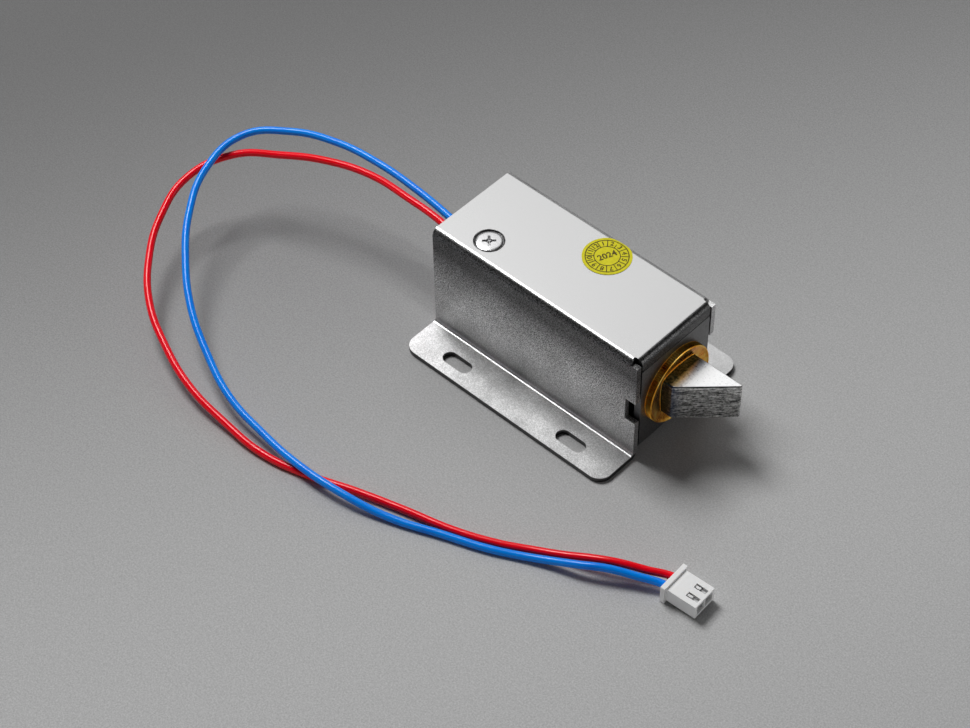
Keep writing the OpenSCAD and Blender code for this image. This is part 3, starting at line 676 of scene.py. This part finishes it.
def stick_on_label(shape):
    """Turn a flat print, drawn about zero, and lay it on the label."""
    bmesh.ops.rotate(
        shape, verts=shape.verts, cent=(0, 0, 0),
        matrix=Matrix.Rotation(LABEL_TURN, 3, "Z"))
    for vert in shape.verts:
        x, y = vert.co.x / MM + LABEL_PLACE[0], vert.co.y / MM + LABEL_PLACE[1]
        over = max(0, y - BEND_START)
        drop = BEND_RADIUS - math.sqrt(BEND_RADIUS ** 2 - over ** 2)
        vert.co = Vector((x, y, LABEL_FACE - drop)) * MM
    bmesh.ops.recalc_face_normals(shape, faces=shape.faces)
    for face in shape.faces:
        if face.normal.z < 0:
            face.normal_flip()


def print_text(shape, text, size, place, turn):
    """Add a line of figures in the plain built-in letters."""
    line = bpy.data.curves.new("figures", "FONT")
    line.body = text
    line.size = size * MM
    line.align_x = "CENTER"
    line.align_y = "CENTER"
    line.resolution_u = 3
    line.offset = LETTER_WEIGHT * size * MM
    figures = bpy.data.objects.new("figures", line)
    bpy.context.collection.objects.link(figures)
    bpy.context.view_layer.update()
    flat = bpy.data.meshes.new_from_object(
        figures.evaluated_get(bpy.context.evaluated_depsgraph_get()))
    flat.transform(
        Matrix.Translation(Vector((*place, 0)) * MM) @ Matrix.Rotation(turn, 4, "Z"))
    shape.from_mesh(flat)
    bpy.data.objects.remove(figures)
    bpy.data.meshes.remove(flat)


print_shape = bmesh.new()
for radius, width in PRINT_RINGS:
    inner = print_shape.verts.new(Vector((radius - width / 2, 0, 0)) * MM)
    outer = print_shape.verts.new(Vector((radius + width / 2, 0, 0)) * MM)
    bmesh.ops.spin(
        print_shape, geom=[inner, outer, print_shape.edges.new((inner, outer))],
        cent=(0, 0, 0), axis=(0, 0, 1), angle=math.tau, steps=96, use_merge=True)
for month in range(MONTHS):
    turn = -math.tau * month / MONTHS
    divider = bmesh.ops.create_grid(
        print_shape, x_segments=1, y_segments=1, size=0.5 * MM)["verts"]
    bmesh.ops.scale(print_shape, verts=divider, vec=DIVIDER_SIZE)
    bmesh.ops.translate(print_shape, verts=divider, vec=(0, DIVIDER_RADIUS * MM, 0))
    bmesh.ops.rotate(
        print_shape, verts=divider, cent=(0, 0, 0),
        matrix=Matrix.Rotation(turn + math.pi / MONTHS, 3, "Z"))
    middle = (MONTH_RADIUS * math.sin(-turn), MONTH_RADIUS * math.cos(-turn))
    print_text(print_shape, str(month + 1), MONTH_SIZE, middle, turn)
print_text(print_shape, YEAR, YEAR_SIZE, YEAR_PLACE, YEAR_TURN)
bmesh.ops.remove_doubles(print_shape, verts=print_shape.verts, dist=WELD)
many_sided = [face for face in print_shape.faces if len(face.verts) > 4]
bmesh.ops.triangulate(print_shape, faces=many_sided)
stick_on_label(print_shape)
label_print = put(print_shape, "date_label_print")
ink_finish, surface = new_finish("label_ink", Roughness=0.55, Specular_IOR_Level=0.25)
wear = noise(ink_finish, place_on_object(ink_finish), 2200, 3, 0.6)
join(ink_finish, shade(ink_finish, wear, [
    (0.38, (0.035, 0.022, 0.001)), (0.72, (0.20, 0.15, 0.003))]),
    surface.inputs["Base Color"])
bump(ink_finish, surface, wear, 0.002)
label_print.data.materials.append(ink_finish)
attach(label_print, "lock_body")

# ---- Joint sleeves ----
# Black sleeves, shrunk over the solder joints between the leads and the coil's
# wire. They lie against the coil near its rear, and the housing hides them.
sleeve_finish, surface = new_finish("black_sleeve", Roughness=0.4)
shrink = noise(sleeve_finish, place_on_object(sleeve_finish), 600, 2)
join(sleeve_finish, shade(sleeve_finish, shrink, [
    (0.3, (0.018, 0.018, 0.018)), (0.7, (0.04, 0.04, 0.04))]),
    surface.inputs["Base Color"])
bump(sleeve_finish, surface, shrink, 0.03)
for side in ("red", "blue"):
    nodes["joint_sleeve_" + side].material_slots[0].material = sleeve_finish

# ---- Plug and contacts ----
# A moulded white nylon plug with a grip at its rear. Its two stamped and
# tinned contacts show through windows in its upper side.
contact_finish = plated("tinned_contact", 0.5, 0.68, 0.3, 0.01)
plug = put(eased_copy("plug_housing", 0.2, 3), "plug_moulded")
even_shading(plug)
plug.data.materials.append(white_plastic)
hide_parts("plug_housing")
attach(plug, "lock_body")
for side in ("red", "blue"):
    nodes["contact_" + side].material_slots[0].material = contact_finish

# ---- Leads ----
# Two stranded leads in glossy red and blue insulation run from the coil, in a
# wide loop behind the lock, to the plug in front of it.
RED_ROUTE = [
    (-9.5, -8.6, 20.89), (-13.8, -8.6, 20.89), (-21.5, -7, 21.89),
    (-30.5, -5.3, 22.49), (-40.7, -4.7, 22.29), (-51.9, -4.5, 21.49),
    (-62.5, -6.8, 20.3), (-72.5, -10.8, 18.39), (-82, -16.2, 16.11),
    (-86.2, -25.5, 13.61), (-83.6, -35.9, 11.19), (-78, -44.5, 9.11),
    (-70.2, -51.7, 7.09), (-60, -56.7, 5.01), (-49.5, -59.8, 3.19),
    (-38.6, -60.7, 1.71), (-28, -60.8, 0.91), (-17.6, -58.6, 0.8), (-7, -54.9, 0.8),
    (3, -51.9, 0.8), (13.7, -49, 0.8), (22, -45.6, 0.8), (28.6, -42, 0.91),
    (33.6, -39.6, 1.6), (38.5, -37.3, 2.75), (43.1, -34.9, 3.15), (48.1, -32.2, 2.59),
    (52.74, -29.77, 2.2), (55.28, -29.64, 2.2)]
BLUE_ROUTE = [
    (-9.5, -6.36, 22.96), (-13.8, -6.36, 22.96), (-21.5, -4.8, 22.6),
    (-30.5, -3.1, 22.49), (-41.5, -1.8, 22.4), (-53.1, -1.5, 22.29),
    (-64, -2.6, 21.8), (-74.3, -6, 20.7), (-82.4, -12.8, 19.1), (-82.4, -23.5, 16.8),
    (-77.4, -33.1, 14.2), (-70, -41.2, 11.59), (-61.2, -48.1, 9), (-51.5, -53, 6.49),
    (-41, -56.8, 4.3), (-30.5, -58.1, 2.9), (-20, -58.8, 2.51), (-8.4, -58, 2.2),
    (2.1, -55.4, 1), (12.5, -51.3, 0.8), (21.5, -47.8, 0.8), (28, -44.5, 0.91),
    (33, -42.1, 1.6), (37.9, -40, 2.75), (42.4, -37.4, 3.15), (47.6, -34.6, 2.59),
    (52.87, -32.27, 2.2), (55.41, -32.14, 2.2)]
LEAD_RADIUS = 0.8
LEADS = {
    "red": (RED_ROUTE, 253.3, (0.94, 0.0, 0.006), (1.0, 0.001, 0.014)),
    "blue": (BLUE_ROUTE, 246.9, (0.0, 0.22, 0.96), (0.0, 0.27, 1.0))}
for side, (route, length, dark, bright) in LEADS.items():
    line = bpy.data.curves.new("lead_line_" + side, "CURVE")
    line.dimensions = "3D"
    line.bevel_depth = LEAD_RADIUS * MM
    line.bevel_resolution = 5
    line.resolution_u = 8
    line.use_fill_caps = True
    spline = line.splines.new("BEZIER")
    spline.bezier_points.add(len(route) - 1)
    for knot, point in zip(spline.bezier_points, route):
        knot.co = Vector(point) * MM
        knot.handle_left_type = knot.handle_right_type = "AUTO"
    lead = bpy.data.objects.new("lead_cord_" + side, line)
    bpy.context.collection.objects.link(lead)
    insulation, surface = new_finish(
        side + "_insulation", Roughness=0.22, Specular_IOR_Level=0.32)
    place = place_on_object(insulation)
    drawn = noise(insulation, place, 260, 3)
    join(insulation, shade(insulation, drawn, [(0.3, dark), (0.55, bright)]),
         surface.inputs["Base Color"])
    bump(insulation, surface, noise(insulation, place, 900, 2), 0.008)
    line.materials.append(insulation)
    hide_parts("lead_" + side)
    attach(lead, "lock_body")

bpy.context.view_layer.update()
